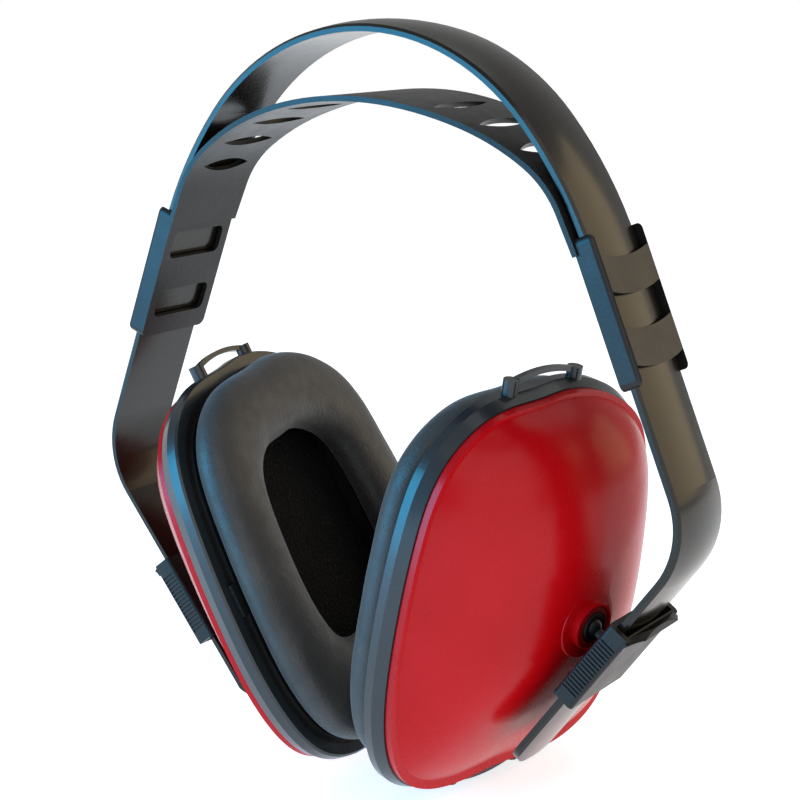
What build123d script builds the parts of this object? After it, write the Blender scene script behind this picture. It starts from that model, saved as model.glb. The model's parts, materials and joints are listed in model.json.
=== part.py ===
from build123d import *
import os
from math import cos, degrees, radians, sin

os.makedirs("parts", exist_ok=True)

# Earmuff hearing protector.  X runs from the wearer's left (-) to right (+),
# Y runs from front (-) to back (+), Z is up.

# ---- driving dimensions, mm ------------------------------------------------
BAND_WIDTH = 24.0
BAND_EDGE = 2.0
BAND_PEAK = 3.0
BAND_CROWN_Z = 200.6
BAND_CHAMFER = 0.7
STRAP_THICK = 1.4
STRAP_CROWN_Z = 185.0
STRAP_HALF_MIDDLE = 19.6
STRAP_HALF_END = 14.0
SLEEVE_LENGTH = 38.6
SLEEVE_HALF_WIDTH = 13.4
SLEEVE_PLAY = 0.4
SLIDER_LENGTH = 26.0
SLIDER_HALF_WIDTH = 14.2
BALL_RADIUS = 2.6
BALL_DROP = 7.5
BALL_DEPTH = 31.6
PIVOT_ABOVE_CENTRE = 3.4
RING_HEIGHT = 6.6
CUSHION_HEIGHT = 12.6
SHELL_WALL = 2.2
CLEAR = 0.3
# Puts the origin under the middle of the part, level with its lowest point.
SHIFT = Pos(0.0, -4.39, 1.41)

# How each cup hangs on its ball: travel of the slider down the headband, and
# the turns of the cup about the front-back, vertical and outward axes.
REST = {
    "right": {"slide": 0.0, "tilt": 11.6, "yaw": -12.5, "lean": 0.0},
    "left": {"slide": 7.2, "tilt": 25.2, "yaw": -5.0, "lean": 4.5},
}

# Half outline of the cup: radius every 20 degrees, from the top to the bottom.
CUP_RADII = [59.8, 61.2, 59.2, 51.6, 47.6, 48.3, 53.2, 58.6, 55.6, 51.8]

# Headings are in degrees below the +X direction.
BAND_RUN = [
    ("arc", 61.5, 50.0),
    ("arc", 110.0, 68.5),
    ("line", 61.5),
    ("arc", 22.0, 127.5),
    ("line", 69.5),
]
STRAP_RUN = [("arc", 95.0, 21.0), ("arc", 68.0, 37.0), ("arc", 29.0, 66.0), ("line", 11.0)]
SLOT_X = [23.0, 35.5, 46.5, 55.0]
SLOT_LENGTHS = [25.0, 23.0, 21.0, 19.0]


# ---- curves in the XZ plane --------------------------------------------------
def trace(crown_z, run, offset):
    """Edges of a half arch from the crown down the +X side, offset outwards."""
    x, z, heading = 0.0, crown_z + offset, 0.0
    edges = []
    for step in run:
        a = radians(heading)
        if step[0] == "line":
            end = (x + step[1] * cos(a), z - step[1] * sin(a))
            edges.append(Edge.make_line((x, 0, z), (end[0], 0, end[1])))
        else:
            radius = step[1] + offset
            b = radians(step[2])
            m = (a + b) / 2
            cx, cz = x - radius * sin(a), z - radius * cos(a)
            mid = (cx + radius * sin(m), cz + radius * cos(m))
            end = (cx + radius * sin(b), cz + radius * cos(b))
            edges.append(
                Edge.make_three_point_arc((x, 0, z), (mid[0], 0, mid[1]), (end[0], 0, end[1]))
            )
            heading = step[2]
        x, z = end
    return edges, (x, z), heading


def frame_on(crown_z, run, distance):
    """Point, downward tangent and outward normal on the last line of a run."""
    _, (x, z), heading = trace(crown_z, run, 0.0)
    a = radians(heading)
    down = Vector(cos(a), 0, -sin(a))
    out = Vector(sin(a), 0, cos(a))
    return Vector(x, 0, z) + down * distance, down, out


def ribbon(crown_z, run, low, high, half_width):
    """Strip of constant thickness that follows a run, both halves in one."""
    inner, inner_end, _ = trace(crown_z, run, low)
    outer, outer_end, _ = trace(crown_z, run, high)
    start = Edge.make_line((0, 0, crown_z + high), (0, 0, crown_z + low))
    tip = Edge.make_line((inner_end[0], 0, inner_end[1]), (outer_end[0], 0, outer_end[1]))
    face = Face(Wire([start] + inner + [tip] + outer))
    half = extrude(face, amount=half_width, dir=(0, 1, 0), both=True)
    return half + mirror(half, about=Plane.YZ)


def both_ends(shape):
    return shape + mirror(shape, about=Plane.YZ)


def block(x0, x1, y0, y1, z0, z1):
    return Pos((x0 + x1) / 2, (y0 + y1) / 2, (z0 + z1) / 2) * Box(x1 - x0, y1 - y0, z1 - z0)


# ---- headband ----------------------------------------------------------------
TAIL_END, TAIL_DOWN, TAIL_OUT = frame_on(BAND_CROWN_Z, BAND_RUN, 0.0)
TAIL_PLANE = Plane(origin=TAIL_END, x_dir=TAIL_DOWN, z_dir=TAIL_OUT)
SIDE_END, SIDE_DOWN, SIDE_OUT = frame_on(BAND_CROWN_Z, BAND_RUN[:3], -46.7)
SIDE_PLANE = Plane(origin=SIDE_END, x_dir=SIDE_DOWN, z_dir=SIDE_OUT)
TIP_RADIUS = 7.0


def band_section():
    """Flat inner face, chamfered edges and a crowned outer face."""
    half_width = BAND_WIDTH / 2
    shoulder = half_width - BAND_CHAMFER
    corners = [(-shoulder, BAND_EDGE), (-half_width, BAND_EDGE - BAND_CHAMFER),
               (-half_width, 0.0), (half_width, 0.0),
               (half_width, BAND_EDGE - BAND_CHAMFER), (shoulder, BAND_EDGE)]
    crown = ThreePointArc((-shoulder, BAND_EDGE), (0, BAND_PEAK), (shoulder, BAND_EDGE))
    return make_face([Polyline(*corners), crown])


def headband():
    half_width = BAND_WIDTH / 2
    edges, _, _ = trace(BAND_CROWN_Z, BAND_RUN, 0.0)
    start = Plane(origin=(0, 0, BAND_CROWN_Z), x_dir=(0, 1, 0), z_dir=(1, 0, 0))
    half = sweep(start.location * band_section(), Wire(edges))
    # Rounded corners at the tip.
    square = block(-TIP_RADIUS, 1, half_width - TIP_RADIUS, half_width + 1, -1, BAND_PEAK + 1)
    disc = Pos(-TIP_RADIUS, half_width - TIP_RADIUS, 0) * Cylinder(TIP_RADIUS, 20)
    corner = square - disc
    half -= TAIL_PLANE.location * (corner + mirror(corner, about=Plane.XZ))
    return both_ends(half)


# ---- suspension strap ----------------------------------------------------------
def lens(length, width, depth):
    """Slot with pointed ends, long in Y, cut along local Z."""
    a, b = length / 2, width / 2
    one = ThreePointArc((0, -a), (b, 0), (0, a))
    two = ThreePointArc((0, a), (-b, 0), (0, -a))
    return extrude(make_face([one, two]), amount=depth, both=True)


def strap_width_mask():
    half = [(68, STRAP_HALF_END), (44, 15.8), (22, 18.6), (0, STRAP_HALF_MIDDLE)]
    side = half + [(-x, y) for x, y in half[-2::-1]]
    back = Spline(*side)
    front = Spline(*[(x, -y) for x, y in side])
    right = Line((68, STRAP_HALF_END), (68, -STRAP_HALF_END))
    left = Line((-68, STRAP_HALF_END), (-68, -STRAP_HALF_END))
    return extrude(make_face([back, front, left, right]), amount=260)


def sleeve():
    """Box sleeve round the headband, in the frame of the band's straight side."""
    half_length = SLEEVE_LENGTH / 2
    low = -SLEEVE_PLAY - STRAP_THICK
    high = BAND_PEAK + SLEEVE_PLAY + 0.7
    body = block(-half_length, half_length, -SLEEVE_HALF_WIDTH, SLEEVE_HALF_WIDTH, low, high)
    body = fillet(body.edges().filter_by(Axis.Z), 2.0)
    body = fillet(body.faces().sort_by(Axis.Z)[-1].edges().filter_by(Axis.X), 1.3)
    inside = BAND_WIDTH / 2 + 0.4
    body -= block(-30, 30, -inside, inside, -SLEEVE_PLAY, BAND_PEAK + SLEEVE_PLAY)
    bars = [(-13.6, -4.3), (4.4, 14.0)]
    # The outer wall is open except for two bars with curved edges.
    opens = [(-half_length - 3, bars[0][0]), (bars[0][1], bars[1][0]), (bars[1][1], half_length + 3)]
    sag = 1.6
    for x0, x1 in opens:
        top = ThreePointArc((x0, -inside), (x0 + sag, 0), (x0, inside))
        bottom = ThreePointArc((x1, -inside), (x1 + sag, 0), (x1, inside))
        sides = [Line((x0, y), (x1, y)) for y in (-inside, inside)]
        window = extrude(make_face([top, bottom] + sides), amount=6)
        body -= Pos(0, 0, BAND_PEAK) * window
    # The inner wall has a window behind each bar.
    for x0, x1 in bars:
        window = block(x0 + 0.6, x1 - 0.6, -10.5, 10.5, low - 1, 0)
        body -= fillet(window.edges().filter_by(Axis.Z), 2.0)
    return body


def suspension_strap():
    strap = ribbon(STRAP_CROWN_Z, STRAP_RUN, -STRAP_THICK, 0.0, 24.0)
    strap &= strap_width_mask()
    edges, _, _ = trace(STRAP_CROWN_Z, STRAP_RUN, 0.0)
    outer = Wire(edges)
    for x, length in zip(SLOT_X, SLOT_LENGTHS):
        low, high = 0.0, 1.0
        for _ in range(30):
            middle = (low + high) / 2
            if (outer @ middle).X < x:
                low = middle
            else:
                high = middle
        point, tangent = outer @ low, outer % low
        slot = Plane(origin=point, x_dir=tangent, z_dir=Vector(-tangent.Z, 0, tangent.X))
        strap -= both_ends(slot.location * lens(length, 4.4, 4))
    return strap + both_ends(SIDE_PLANE.location * sleeve())


# ---- slider with ball stud -------------------------------------------------------
SLIDER_MIDDLE = -40.6
SLIDER_LOW = -1.8
SLIDER_HIGH = BAND_PEAK + 1.7


def slider():
    """Clip round the tail of the headband, in the tail's frame."""
    half_length = SLIDER_LENGTH / 2
    inside = BAND_WIDTH / 2 + 0.35
    low, high = SLIDER_LOW, SLIDER_HIGH
    body = block(-half_length, half_length, -SLIDER_HALF_WIDTH, SLIDER_HALF_WIDTH, low, high)
    body = fillet(body.edges().filter_by(Axis.X), 1.2)
    # Thumb lip: a flared, bowed extension of the outer wall at the upper end.
    lip_outer = ThreePointArc((-half_length + 3, high - 1.3), (-half_length - 0.4, high - 0.6),
                              (-half_length - 2.2, high + 1.0))
    lip_inner = ThreePointArc((-half_length - 1.0, high + 2.1), (-half_length + 0.6, high + 0.6),
                              (-half_length + 3, high))
    ends = [Line(lip_outer @ 1, lip_inner @ 0), Line(lip_inner @ 1, lip_outer @ 0)]
    lip_face = make_face([lip_outer, lip_inner] + ends)
    lip = extrude(Plane.XZ.location * lip_face, amount=SLIDER_HALF_WIDTH - 0.2, both=True)
    round_off = Pos(-half_length + 30.2, 0, 0) * Cylinder(32.5, 40)
    body += lip & round_off
    body -= block(-30, 30, -inside, inside, -0.35, BAND_PEAK + 0.35)
    # Grip ribs on both side walls.
    for i in range(16):
        x = -half_length + 4.4 + 1.15 * i
        for y in (-SLIDER_HALF_WIDTH, SLIDER_HALF_WIDTH):
            body -= block(x, x + 0.55, y - 0.35, y + 0.35, low + 0.8, high - 1.0)
    # Hole for the stud.
    body -= Pos(0, 0, low) * Cylinder(1.8, 4.0)
    return body


def stud():
    """Ball stud: rivet head in the slider's inner wall, neck and ball."""
    head = Pos(0, 0, (SLIDER_LOW - 0.6) / 2) * Cylinder(1.8, -SLIDER_LOW - 0.6)
    collar = Pos(0, 0, SLIDER_LOW - 0.5) * Cylinder(2.6, 1.0)
    neck = Pos(0, 0, (SLIDER_LOW - BALL_DROP) / 2) * Cylinder(1.3, BALL_DROP + SLIDER_LOW)
    ball = Pos(0, 0, -BALL_DROP) * Sphere(BALL_RADIUS)
    return head + collar + neck + ball


# ---- cup, in its own frame: x back, y up, z outward --------------------------------
def outline(inset, height, scale=1.0, lift=0.0):
    """Closed smooth outline of the cup, scaled, drawn in and lifted, at a height."""
    points = []
    for i in range(18):
        angle = 20.0 * i
        radius = CUP_RADII[min(i, 18 - i)] * scale - inset
        a = radians(angle)
        points.append(Vector(radius * sin(a), radius * cos(a) + lift, height))
    return Wire([Edge.make_spline(points, periodic=True)])


def skin(sections, ruled=False):
    return Solid.make_loft([outline(*s) for s in sections], ruled)


def rim_ring():
    outer = skin([(0.5, 0.0), (0.0, 0.6), (0.0, 3.4), (1.5, RING_HEIGHT)], True)
    seat = skin([(3.6, -1.0), (3.6, 2.6)], True)
    bore = skin([(6.4, 2.0), (6.4, RING_HEIGHT + 1)], True)
    ring = outer - seat - bore
    for top in (1, -1):
        ring += strap_loop(top)
    return ring


LOOP_HALF_SPAN = 12.0


def strap_loop(top):
    """Two rounded posts with a thin arched bar, at the top or bottom of the rim."""
    y = (CUP_RADII[0] if top > 0 else CUP_RADII[-1]) - 0.4
    loop = None
    for x in (-LOOP_HALF_SPAN, LOOP_HALF_SPAN):
        post = Pos(x, top * (y + 0.6), 2.6) * Rot(90, 0, 0) * Cylinder(2.1, 5.2)
        loop = post if loop is None else loop + post
    path = ThreePointArc((-LOOP_HALF_SPAN, top * (y + 2.2)), (0, top * (y + 4.0)),
                         (LOOP_HALF_SPAN, top * (y + 2.2)))
    bar = sweep(Plane(origin=path @ 0, z_dir=path % 0).location * Rectangle(1.4, 1.6), path)
    return loop + Pos(0, 0, 2.6) * bar


def cushion_plate():
    flange = skin([(3.7, 0.2), (3.7, 2.4)], True)
    collar = skin([(5.0, -1.4), (5.0, 0.2)], True)
    plate = flange + collar
    plate -= skin([(21.5, -2.0), (21.5, 3.0)], True)
    # Snap tabs on the long sides.
    for x in (-1, 1):
        plate += Pos(x * (CUP_RADII[4] - 4.6), 2, -0.8) * Box(2.6, 9, 1.2)
    return plate


def cushion_sections():
    return [(6.6, -1.5), (5.0, -4.4), (5.2, -7.8), (7.6, -10.8), (13.6, -CUSHION_HEIGHT)]


FOAM_OUTER = [(7.8, -2.6), (6.8, -5.0), (6.8, -7.6), (9.6, -10.4), (12.8, -11.2)]
FOAM_HOLE = [(0.0, 0.0, 0.57, 1.5), (0.0, -8.0, 0.575, 1.5), (0.0, -12.0, 0.63, 1.5)]


def cushion_cover():
    """Closed skin with a hollow for the foam core."""
    outer = skin(cushion_sections())
    hole = skin([(0.0, -1.0, 0.53, 1.5), (0.0, -8.0, 0.54, 1.5), (0.0, -11.0, 0.57, 1.5),
                 (0.0, -CUSHION_HEIGHT - 0.4, 0.66, 1.5)], True)
    return (outer - hole) - (skin(FOAM_OUTER, True) - skin(FOAM_HOLE, True))


def cushion_foam():
    outer = [(inset + 0.1, height - 0.1 if i == 0 else height + 0.1)
             for i, (inset, height) in enumerate(FOAM_OUTER)]
    hole = [(inset - 0.1, height, scale, lift) for inset, height, scale, lift in FOAM_HOLE]
    return skin(outer, True) - skin(hole, True)


# Shell sections: inset, height, scale, lift.  The dome leans towards the top.
SHELL_OUTER = [
    (2.0, RING_HEIGHT + 0.1, 1.0, 0.0),
    (2.0, 10.0, 0.945, 1.4),
    (2.0, 15.0, 0.845, 4.8),
    (2.0, 20.0, 0.715, 8.4),
    (2.0, 24.2, 0.585, 10.8),
    (2.0, 27.2, 0.46, 11.6),
    (2.0, 29.2, 0.33, 11.0),
    (2.0, 30.2, 0.19, 10.0),
]
MOUTH_RADIUS = 4.1
POCKET_RADIUS = 5.8
SOCKET_PLACE = Pos(0, PIVOT_ABOVE_CENTRE, 0)


def cup_shell():
    outer = skin(SHELL_OUTER)
    wall = SHELL_WALL
    inner = skin([(inset + wall, height - wall, scale, lift)
                  for inset, height, scale, lift in SHELL_OUTER])
    floor = skin([(2.0, RING_HEIGHT + 0.1), (2.1, RING_HEIGHT + 2.2)], True)
    tongue = skin([(6.6, 3.6), (6.6, RING_HEIGHT + 2.0)], True)
    opening = skin([(8.4, 3.0), (8.4, RING_HEIGHT + 3.0)], True)
    shell = (outer - inner) + ((floor + tongue) - opening)
    # Round boss over the socket: an outer ring, a groove and a raised inner ring.
    top = BALL_DEPTH + 1.1
    hub = Pos(0, 0, top - 7.0) * Cylinder(8.2, 9.0)
    outer_ring = Pos(0, 0, top - 6.9) * Cone(11.5, 9.4, 9.0)
    inner_ring = Pos(0, 0, top - 3.2) * Cylinder(6.4, 6.0)
    groove = Pos(0, 0, top - 3.0) * (Cylinder(8.2, 2.4) - Cylinder(6.4, 2.4))
    rings = outer_ring - groove + inner_ring
    pocket = Pos(0, 0, top - 6) * Cylinder(POCKET_RADIUS, 12)
    mouth = Pos(0, 0, BALL_DEPTH) * Cylinder(MOUTH_RADIUS, 20)
    boss = SOCKET_PLACE * (hub + rings)
    inside = skin([(9.0, RING_HEIGHT), (14.0, 15.0), (24.0, 22.0)], True)
    return shell + (boss - inside) - SOCKET_PLACE * (pocket + mouth)


SOCKET_OUTER = 4.0


def ball_socket():
    """Split cup that grips the ball; it tilts on the ball."""
    body = Sphere(SOCKET_OUTER) - Sphere(BALL_RADIUS + CLEAR)
    body &= Pos(0, 0, -0.95) * Cylinder(6, 4.5)
    return SOCKET_PLACE * Pos(0, 0, BALL_DEPTH) * body


def snap_ring():
    """Ring that holds the socket in the shell's pocket."""
    body = Cylinder(POCKET_RADIUS - CLEAR, 3.0) - Pos(0, 0, 0.7) * Sphere(SOCKET_OUTER + CLEAR)
    return SOCKET_PLACE * Pos(0, 0, BALL_DEPTH - 0.7) * body


def acoustic_foam():
    block_of_foam = skin([(9.0, 2.9), (10.5, 8.0), (21.0, 12.6)], True)
    slit = Pos(3, 6, 2.4) * Rot(0, 0, 12) * Box(0.5, 34, 3.0)
    return block_of_foam - slit


def cup_frame(side):
    """Plane of a right-hand cup that hangs as the given side does."""
    rest = REST[side]
    tilt, yaw, lean = (radians(rest[k]) for k in ("tilt", "yaw", "lean"))
    pivot = ball_centre(side)
    n = Vector(cos(tilt), 0, -sin(tilt)).rotate(Axis.Z, degrees(yaw))
    v = Vector(sin(tilt), 0, cos(tilt)).rotate(Axis.Z, degrees(yaw))
    u = Vector(0, 1, 0).rotate(Axis.Z, degrees(yaw))
    back = u * cos(lean) + v * sin(lean)
    up = v * cos(lean) - u * sin(lean)
    origin = pivot - n * BALL_DEPTH - up * PIVOT_ABOVE_CENTRE
    return Plane(origin=origin, x_dir=back, z_dir=n)


def slider_frame(side):
    origin = TAIL_END + TAIL_DOWN * (SLIDER_MIDDLE + REST[side]["slide"])
    return Plane(origin=origin, x_dir=TAIL_DOWN, z_dir=TAIL_OUT)


def ball_centre(side):
    frame = slider_frame(side)
    return frame.origin - frame.z_dir * BALL_DROP


def save(shape, name, side):
    """Write a right-hand shape, mirrored when it belongs to the left side."""
    if side == "left":
        shape = mirror(shape, about=Plane.YZ)
    export_step(SHIFT * shape, f"parts/{side}_{name}.step")


export_step(SHIFT * headband(), "parts/headband.step")
export_step(SHIFT * suspension_strap(), "parts/suspension_strap.step")
for side in REST:
    clip = slider_frame(side).location
    cup = cup_frame(side).location
    save(clip * slider(), "slider", side)
    save(clip * stud(), "ball_stud", side)
    save(cup * rim_ring(), "rim_ring", side)
    save(cup * cushion_plate(), "cushion_plate", side)
    save(cup * cushion_cover(), "cushion_cover", side)
    save(cup * cushion_foam(), "cushion_foam", side)
    save(cup * acoustic_foam(), "acoustic_foam", side)
    save(cup * cup_shell(), "cup_shell", side)
    save(cup * ball_socket(), "ball_socket", side)
    save(cup * snap_ring(), "snap_ring", side)
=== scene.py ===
import json
from bisect import bisect
from math import atan2, cos, pi, radians, sin

import bpy
from mathutils import Matrix, Vector, noise


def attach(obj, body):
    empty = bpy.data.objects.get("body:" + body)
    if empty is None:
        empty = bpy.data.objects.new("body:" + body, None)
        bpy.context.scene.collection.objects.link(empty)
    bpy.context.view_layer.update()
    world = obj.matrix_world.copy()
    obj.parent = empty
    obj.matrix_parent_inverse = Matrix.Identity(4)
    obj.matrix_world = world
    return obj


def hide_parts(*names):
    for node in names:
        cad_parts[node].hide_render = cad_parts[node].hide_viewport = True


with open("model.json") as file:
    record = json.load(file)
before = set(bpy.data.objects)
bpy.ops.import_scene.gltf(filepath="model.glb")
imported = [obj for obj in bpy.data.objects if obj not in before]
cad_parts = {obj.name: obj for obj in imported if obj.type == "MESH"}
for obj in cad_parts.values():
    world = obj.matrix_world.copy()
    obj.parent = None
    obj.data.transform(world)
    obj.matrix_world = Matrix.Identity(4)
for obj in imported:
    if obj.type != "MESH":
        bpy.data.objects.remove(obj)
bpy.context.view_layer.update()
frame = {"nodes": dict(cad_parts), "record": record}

MM = 0.001
SIDES = ("left", "right")
nodes = frame["nodes"]
joints = {joint["name"]: joint for joint in frame["record"]["behaviour"]["joints"]}

# Cup sizes in millimetres, as in the CAD model.
BALL_DEPTH = 31.6           # from the rim's inner edge out to the ball
PIVOT_ABOVE_CENTRE = 3.4
FLANGE_INSET = 3.7          # cushion plate's flange, inside the cup's outline
FLANGE_TOP = 2.4
FLANGE_NEAREST = 41.0       # the flange's outer edge is nowhere nearer the centre


# ---- node materials --------------------------------------------------------------
def new_material(name):
    material = bpy.data.materials.new(name)
    material.use_nodes = True
    tree = material.node_tree
    return material, tree, tree.nodes["Principled BSDF"]


def coordinates(tree):
    return tree.nodes.new("ShaderNodeTexCoord").outputs["Object"]


def noise_node(tree, scale, detail=3.0, roughness=0.5):
    node = tree.nodes.new("ShaderNodeTexNoise")
    node.inputs["Scale"].default_value = scale
    node.inputs["Detail"].default_value = detail
    node.inputs["Roughness"].default_value = roughness
    tree.links.new(coordinates(tree), node.inputs["Vector"])
    return node.outputs["Fac"]


def ramp(tree, value, low, high, start=0.3, end=0.7):
    """Colour or grey value between low and high as value goes from start to end."""
    node = tree.nodes.new("ShaderNodeValToRGB")
    stops = node.color_ramp.elements
    for stop, place, colour in ((stops[0], start, low), (stops[1], end, high)):
        stop.position = place
        stop.color = (*colour, 1.0) if isinstance(colour, tuple) else (colour, colour, colour, 1.0)
    tree.links.new(value, node.inputs["Fac"])
    return node.outputs["Color"]


def bump(tree, shader, height, strength, distance):
    node = tree.nodes.new("ShaderNodeBump")
    node.inputs["Strength"].default_value = strength
    node.inputs["Distance"].default_value = distance
    tree.links.new(height, node.inputs["Height"])
    tree.links.new(node.outputs["Normal"], shader.inputs["Normal"])
    return node


def moulded_plastic(name, dark, light, smooth, rough, grain, coat=0.0, specular=0.3):
    """Injection-moulded plastic: faint mottling, uneven gloss and a fine moulded grain."""
    material, tree, shader = new_material(name)
    colour = ramp(tree, noise_node(tree, 45.0, 4.0), dark, light)
    tree.links.new(colour, shader.inputs["Base Color"])
    gloss = ramp(tree, noise_node(tree, 120.0, 6.0, 0.65), smooth, rough, 0.25, 0.8)
    tree.links.new(gloss, shader.inputs["Roughness"])
    bump(tree, shader, noise_node(tree, 900.0, 2.0), grain, 0.0004)
    shader.inputs["Coat Weight"].default_value = coat
    shader.inputs["Coat Roughness"].default_value = 0.12
    shader.inputs["Specular IOR Level"].default_value = specular
    return material


def soft_vinyl(name):
    """Matte cushion skin with a fine pebble grain and faint creases."""
    material, tree, shader = new_material(name)
    colour = ramp(tree, noise_node(tree, 60.0, 5.0), (0.020, 0.019, 0.018), (0.034, 0.032, 0.030))
    tree.links.new(colour, shader.inputs["Base Color"])
    tree.links.new(ramp(tree, noise_node(tree, 200.0, 4.0), 0.42, 0.6), shader.inputs["Roughness"])
    grain = tree.nodes.new("ShaderNodeTexVoronoi")
    grain.inputs["Scale"].default_value = 1300.0
    tree.links.new(coordinates(tree), grain.inputs["Vector"])
    fine = bump(tree, shader, grain.outputs["Distance"], 0.25, 0.0003)
    creases = tree.nodes.new("ShaderNodeBump")
    creases.inputs["Strength"].default_value = 0.3
    creases.inputs["Distance"].default_value = 0.0012
    tree.links.new(noise_node(tree, 130.0, 3.0), creases.inputs["Height"])
    tree.links.new(creases.outputs["Normal"], fine.inputs["Normal"])
    shader.inputs["Sheen Weight"].default_value = 0.25
    shader.inputs["Sheen Roughness"].default_value = 0.45
    return material


def open_foam(name):
    """Black open-cell foam: no gloss, deep pores and a few pale specks of dust."""
    material, tree, shader = new_material(name)
    pores = tree.nodes.new("ShaderNodeTexVoronoi")
    pores.inputs["Scale"].default_value = 1100.0
    tree.links.new(coordinates(tree), pores.inputs["Vector"])
    dust = noise_node(tree, 1500.0, 1.0)
    specks = ramp(tree, dust, (0.004, 0.004, 0.004), (0.05, 0.05, 0.05), 0.68, 0.78)
    tree.links.new(specks, shader.inputs["Base Color"])
    bump(tree, shader, pores.outputs["Distance"], 0.9, 0.0008)
    shader.inputs["Roughness"].default_value = 0.95
    shader.inputs["Specular IOR Level"].default_value = 0.2
    return material


def paint(node, material):
    """Gives a CAD node's object a finished material."""
    target = nodes[node]
    if not target.material_slots:
        target.data.materials.append(material)
    for place in target.material_slots:
        place.material = material


band_plastic = moulded_plastic(
    "band_plastic", (0.006, 0.005, 0.003), (0.010, 0.008, 0.005),
    smooth=0.16, rough=0.27, grain=0.05, coat=0.15,
)
strap_plastic = moulded_plastic(
    "strap_plastic", (0.006, 0.006, 0.006), (0.011, 0.010, 0.010),
    smooth=0.3, rough=0.42, grain=0.12,
)
clip_plastic = moulded_plastic(
    "clip_plastic", (0.006, 0.006, 0.006), (0.011, 0.011, 0.010),
    smooth=0.36, rough=0.5, grain=0.2,
)
# Dark rim plastic; its blue-grey tint is a painted blue reflection of the cool front light.
rim_plastic_painted_blue_reflection = moulded_plastic(
    "rim_plastic_painted_blue_reflection", (0.009, 0.012, 0.014), (0.014, 0.018, 0.021),
    smooth=0.24, rough=0.36, grain=0.08, coat=0.2, specular=0.45,
)
plate_plastic = moulded_plastic(
    "plate_plastic", (0.004, 0.004, 0.004), (0.008, 0.008, 0.008),
    smooth=0.4, rough=0.55, grain=0.15,
)
red_plastic = moulded_plastic(
    "red_plastic", (0.420, 0.001, 0.003), (0.470, 0.002, 0.006),
    smooth=0.22, rough=0.32, grain=0.03, coat=0.0, specular=0.2,
)
inner_red = moulded_plastic(
    "inner_red", (0.160, 0.004, 0.006), (0.220, 0.006, 0.008),
    smooth=0.3, rough=0.42, grain=0.1,
)
vinyl = soft_vinyl("cushion_vinyl")
foam_skin = open_foam("acoustic_foam")

paint("headband", band_plastic)
paint("suspension_strap", strap_plastic)
for side in SIDES:
    paint(f"{side}_slider", clip_plastic)
    paint(f"{side}_ball_stud", clip_plastic)
    paint(f"{side}_ball_socket", plate_plastic)
    paint(f"{side}_snap_ring", inner_red)
    paint(f"{side}_cup_shell", red_plastic)
    paint(f"{side}_rim_ring", rim_plastic_painted_blue_reflection)
    paint(f"{side}_cushion_plate", plate_plastic)


# ---- the cup's own coordinates --------------------------------------------------------
class Cup:
    """Places points given as back, up and outward distances from the cup's centre."""

    def __init__(self, side):
        sign = 1.0 if side == "right" else -1.0
        self.side = side
        self.out = Vector(joints[f"{side}_turn"]["axis"]).normalized()
        self.back = Vector(joints[f"{side}_tilt"]["axis"]).normalized() * sign
        self.up = Vector(joints[f"{side}_swivel"]["axis"]).normalized() * sign
        ball = Vector(joints[f"{side}_turn"]["pos_m"])
        self.centre = ball - self.out * BALL_DEPTH * MM - self.up * PIVOT_ABOVE_CENTRE * MM
        self.angles, self.radii = self.read_outline()

    def local(self, point):
        p = (point - self.centre) / MM
        return p.dot(self.back), p.dot(self.up), p.dot(self.out)

    def place(self, back, up, out):
        return self.centre + (self.back * back + self.up * up + self.out * out) * MM

    def read_outline(self):
        """The cup's outline, from the edge of the cushion plate's flange."""
        edge = []
        for vertex in nodes[f"{self.side}_cushion_plate"].data.vertices:
            back, up, out = self.local(vertex.co)
            if abs(out - FLANGE_TOP) < 0.05 and back * back + up * up > FLANGE_NEAREST ** 2:
                edge.append((atan2(back, up), (back * back + up * up) ** 0.5 + FLANGE_INSET))
        edge.sort()
        return [angle for angle, _ in edge], [radius for _, radius in edge]

    def radius(self, angle):
        """Radius of the outline at an angle from the top, towards the back."""
        angle = (angle + pi) % (2 * pi) - pi
        i = bisect(self.angles, angle)
        before, after = i - 1, i % len(self.angles)
        a, b = self.angles[before], self.angles[after]
        gap = (b - a) % (2 * pi) or 1.0
        share = ((angle - a) % (2 * pi)) / gap
        return self.radii[before] * (1 - share) + self.radii[after] * share

    def point(self, angle, inset, out):
        radius = self.radius(angle) - inset
        return self.place(radius * sin(angle), radius * cos(angle), out)


def mesh_piece(name, vertices, faces, material, body):
    mesh = bpy.data.meshes.new(name)
    mesh.from_pydata([tuple(v) for v in vertices], [], faces)
    mesh.update()
    piece = bpy.data.objects.new(name, mesh)
    bpy.context.scene.collection.objects.link(piece)
    mesh.materials.append(material)
    for polygon in mesh.polygons:
        polygon.use_smooth = True
    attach(piece, body)
    return piece


def face_outwards(piece):
    bpy.context.view_layer.objects.active = piece
    piece.select_set(True)
    bpy.ops.object.mode_set(mode="EDIT")
    bpy.ops.mesh.select_all(action="SELECT")
    bpy.ops.mesh.normals_make_consistent(inside=False)
    bpy.ops.object.mode_set(mode="OBJECT")
    piece.select_set(False)


def ring_faces(around, along, closed):
    """Quads of a tube: `along` sections of `around` points each."""
    faces = []
    for i in range(along if closed else along - 1):
        j = (i + 1) % along
        for k in range(around):
            m = (k + 1) % around
            faces.append((i * around + k, i * around + m, j * around + m, j * around + k))
    return faces


# ---- cushions ---------------------------------------------------------------------------
# Outside of the cushion: inset from the cup's outline, and distance outwards.
CUSHION_OUTSIDE = [
    (14.0, -1.7), (9.0, -1.7), (6.6, -1.9), (4.9, -2.5), (3.8, -3.6), (3.2, -5.2), (3.2, -7.0),
    (3.9, -8.8), (5.4, -10.2), (7.8, -11.2),
]
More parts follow.
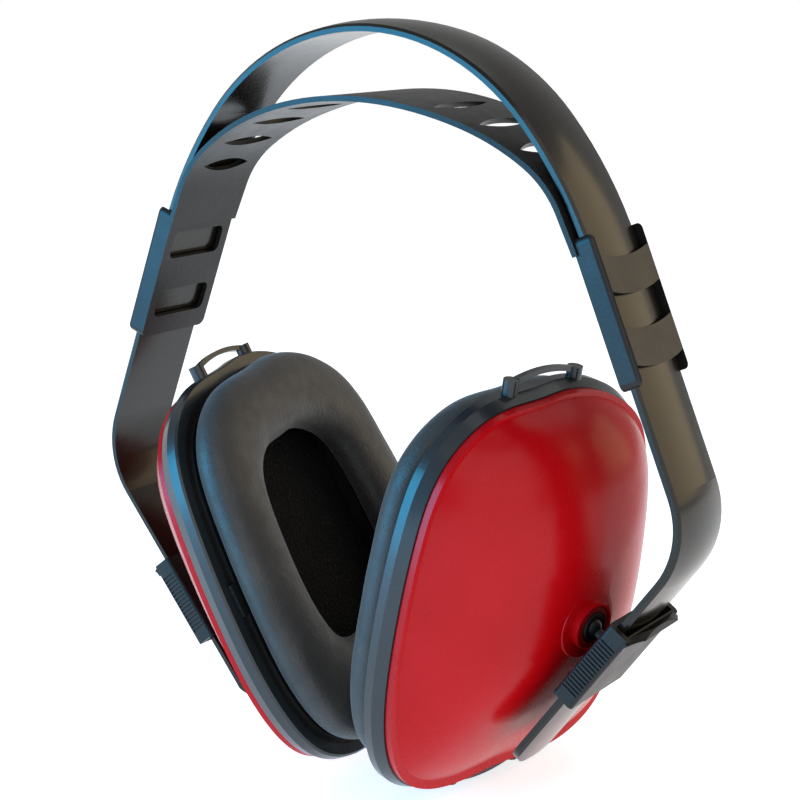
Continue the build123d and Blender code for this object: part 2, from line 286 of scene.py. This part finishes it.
# The rest is set by the ear opening: share of the way from the opening's edge
# to the crest, and distance outwards.
CUSHION_CREST = [(0.78, -12.0), (0.52, -12.1), (0.3, -11.5), (0.13, -10.2)]
CUSHION_INSIDE = [(0.04, -8.4), (0.0, -6.4), (0.0, -4.4), (0.03, -2.6), (0.16, -1.7), (0.5, -1.7)]
OPENING_SCALE = 0.52
OPENING_LIFT = 4.2
CUSHION_STEPS = 120
SEAM_OUT = -2.2             # nearer the plate than this, the skin is welded down
AIR_PRESSURE = 4.0
AIR_FRAMES = 16
SWELL_CAP = 0.7 * MM


def inflate(piece, pinned):
    """Lets air pressure round the skin between its pinned seams, no further than the cap."""
    start = [vertex.co.copy() for vertex in piece.data.vertices]
    group = piece.vertex_groups.new(name="pinned")
    group.add(pinned, 1.0, "REPLACE")
    cloth = piece.modifiers.new("air", "CLOTH")
    settings = cloth.settings
    settings.effector_weights.gravity = 0.0
    settings.use_pressure = True
    settings.uniform_pressure_force = AIR_PRESSURE
    settings.vertex_group_mass = "pinned"
    settings.quality = 5
    cloth.point_cache.frame_end = AIR_FRAMES
    scene = bpy.context.scene
    for step in range(1, AIR_FRAMES + 1):
        scene.frame_set(step)
    shaped = piece.evaluated_get(bpy.context.evaluated_depsgraph_get())
    moved = [vertex.co.copy() for vertex in shaped.data.vertices]
    piece.modifiers.remove(cloth)
    for vertex, old, new in zip(piece.data.vertices, start, moved):
        shift = new - old
        if shift.length > SWELL_CAP:
            shift *= SWELL_CAP / shift.length
        vertex.co = old + shift
    scene.frame_set(1)


def cushion(cup):
    side = cup.side
    around = len(CUSHION_OUTSIDE) + len(CUSHION_CREST) + len(CUSHION_INSIDE)
    crest_inset = CUSHION_OUTSIDE[-1][0]
    vertices = []
    pinned = []
    for i in range(CUSHION_STEPS):
        angle = 2 * pi * i / CUSHION_STEPS
        radius = cup.radius(angle)
        section = [(radius - inset, 0.0, out) for inset, out in CUSHION_OUTSIDE]
        for share, out in CUSHION_CREST + CUSHION_INSIDE:
            opening = radius * OPENING_SCALE
            across = opening + share * (radius - crest_inset - opening)
            section.append((across, OPENING_LIFT * (1 - share), out))
        for across, lift, out in section:
            point = cup.place(across * sin(angle), across * cos(angle) + lift, out)
            if out > SEAM_OUT:
                pinned.append(len(vertices))
            else:
                # Slight unevenness of the soft foam under the skin.
                wave = noise.noise(point * 55.0) * 0.35 + noise.noise(point * 160.0) * 0.12
                point += (cup.out * -0.6 + (point - cup.centre).normalized() * 0.4) * wave * MM
            vertices.append(point)
    piece = mesh_piece(f"{side}_cushion_skin", vertices, ring_faces(around, CUSHION_STEPS, True),
                       vinyl, f"{side}_cup")
    face_outwards(piece)
    inflate(piece, pinned)
    smooth = piece.modifiers.new("smooth", "SUBSURF")
    smooth.levels = smooth.render_levels = 2
    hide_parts(f"{side}_cushion_cover", f"{side}_cushion_foam")


# ---- acoustic foam at the bottom of the ear opening ---------------------------------------
FOAM_FACE = 2.9
FOAM_INSET = 9.6
FOAM_SECTIONS = [(9.4, 8.6), (9.1, 6.0), (9.1, FOAM_FACE + 0.6), (FOAM_INSET, FOAM_FACE)]
FOAM_RINGS = 26
FOAM_STEPS = 120


def acoustic_foam(cup):
    side = cup.side
    vertices = []
    for inset, out in FOAM_SECTIONS:
        vertices += [cup.point(2 * pi * k / FOAM_STEPS, inset + (out - FOAM_FACE) * 0.15, out)
                     for k in range(FOAM_STEPS)]
    # The face: rings that shrink to the middle, softly uneven as cut foam is.
    for ring in range(1, FOAM_RINGS + 1):
        share = 1 - ring / (FOAM_RINGS + 1.0)
        for k in range(FOAM_STEPS):
            angle = 2 * pi * k / FOAM_STEPS
            radius = (cup.radius(angle) - FOAM_INSET) * share
            back, up = radius * sin(angle), radius * cos(angle)
            p = Vector((back, up, 0.0))
            swell = 0.5 * noise.noise(p * 0.08) + 0.18 * noise.noise(p * 0.7)
            vertices.append(cup.place(back, up, FOAM_FACE + 0.4 + swell))
    faces = ring_faces(FOAM_STEPS, len(FOAM_SECTIONS) + FOAM_RINGS, False)
    last = (len(FOAM_SECTIONS) + FOAM_RINGS - 1) * FOAM_STEPS
    faces.append(tuple(range(last, last + FOAM_STEPS)))
    faces.append(tuple(range(FOAM_STEPS)))
    piece = mesh_piece(f"{side}_foam_pad", vertices, faces, foam_skin, f"{side}_cup")
    face_outwards(piece)
    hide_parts(f"{side}_acoustic_foam")


for side in SIDES:
    cup = Cup(side)
    cushion(cup)
    acoustic_foam(cup)


# ---- floor, lights and camera --------------------------------------------------------------
def floor():
    material, tree, shader = new_material("floor")
    tone = ramp(tree, noise_node(tree, 3.0, 2.0), (0.92, 0.92, 0.92), (0.94, 0.94, 0.94))
    tree.links.new(tone, shader.inputs["Base Color"])
    shader.inputs["Roughness"].default_value = 0.9
    shader.inputs["Specular IOR Level"].default_value = 0.1
    shader.inputs["Emission Color"].default_value = (1.0, 1.0, 1.0, 1.0)
    shader.inputs["Emission Strength"].default_value = 0.68
    size = 6.0
    corners = [(-size, -size, 0), (size, -size, 0), (size, size, 0), (-size, size, 0)]
    mesh = bpy.data.meshes.new("floor")
    mesh.from_pydata(corners, [], [(0, 1, 2, 3)])
    mesh.materials.append(material)
    plane = bpy.data.objects.new("floor", mesh)
    bpy.context.scene.collection.objects.link(plane)
    plane.location.z = -0.0005


def area_light(name, place, size, power, colour, target=(0.0, 0.0, 0.1)):
    light = bpy.data.lights.new(name, "AREA")
    light.shape = "RECTANGLE"
    light.size, light.size_y = size
    light.energy = power
    light.color = colour
    lamp = bpy.data.objects.new(name, light)
    lamp.location = place
    lamp.rotation_euler = (Vector(target) - Vector(place)).to_track_quat("-Z", "Y").to_euler()
    lamp.visible_camera = False
    bpy.context.scene.collection.objects.link(lamp)


def studio():
    """A world that looks white but lights dimly, and four soft lamps."""
    world = bpy.data.worlds.new("studio")
    bpy.context.scene.world = world
    world.use_nodes = True
    tree = world.node_tree
    ambient = tree.nodes["Background"]
    ambient.inputs["Color"].default_value = (1.0, 1.0, 1.0, 1.0)
    ambient.inputs["Strength"].default_value = 0.36
    backdrop = tree.nodes.new("ShaderNodeBackground")
    backdrop.inputs["Color"].default_value = (1.0, 1.0, 1.0, 1.0)
    backdrop.inputs["Strength"].default_value = 1.0
    path = tree.nodes.new("ShaderNodeLightPath")
    mix = tree.nodes.new("ShaderNodeMixShader")
    tree.links.new(path.outputs["Is Camera Ray"], mix.inputs["Fac"])
    tree.links.new(ambient.outputs["Background"], mix.inputs[1])
    tree.links.new(backdrop.outputs["Background"], mix.inputs[2])
    tree.links.new(mix.outputs["Shader"], tree.nodes["World Output"].inputs["Surface"])
    area_light("warm_back", (0.95, 1.25, 0.6), (0.9, 0.9), 3.6, (1.0, 0.76, 0.42))
    area_light("soft_right", (1.3, -0.9, 0.9), (1.8, 1.8), 11.0, (1.0, 0.97, 0.94))
    area_light("cool_front", (-0.55, -0.8, 0.25), (0.8, 0.7), 19.0, (0.04, 0.48, 0.9))
    area_light("top", (0.1, 0.4, 1.4), (1.2, 1.2), 3.5, (1.0, 1.0, 1.0))


CAMERA_PLACE = Vector((0.27545, -0.40385, 0.20942))
CAMERA_BACK = Vector((0.55070896, -0.80770911, 0.21053654))
CAMERA_AZIMUTH = radians(34.29)
CAMERA_ROLL = radians(-0.87)


def camera():
    data = bpy.data.cameras.new("camera")
    data.lens = 83.5
    data.sensor_width = 36.0
    data.clip_start = 0.01
    eye = bpy.data.objects.new("camera", data)
    right = Vector((cos(CAMERA_AZIMUTH), sin(CAMERA_AZIMUTH), 0.0))
    up = CAMERA_BACK.cross(right)
    rolled_right = right * cos(CAMERA_ROLL) + up * sin(CAMERA_ROLL)
    rolled_up = up * cos(CAMERA_ROLL) - right * sin(CAMERA_ROLL)
    turn = Matrix((rolled_right, rolled_up, CAMERA_BACK)).transposed()
    eye.matrix_world = Matrix.Translation(CAMERA_PLACE) @ turn.to_4x4()
    bpy.context.scene.collection.objects.link(eye)
    bpy.context.scene.camera = eye


floor()
studio()
camera()
bpy.context.scene.view_settings.view_transform = "Standard"
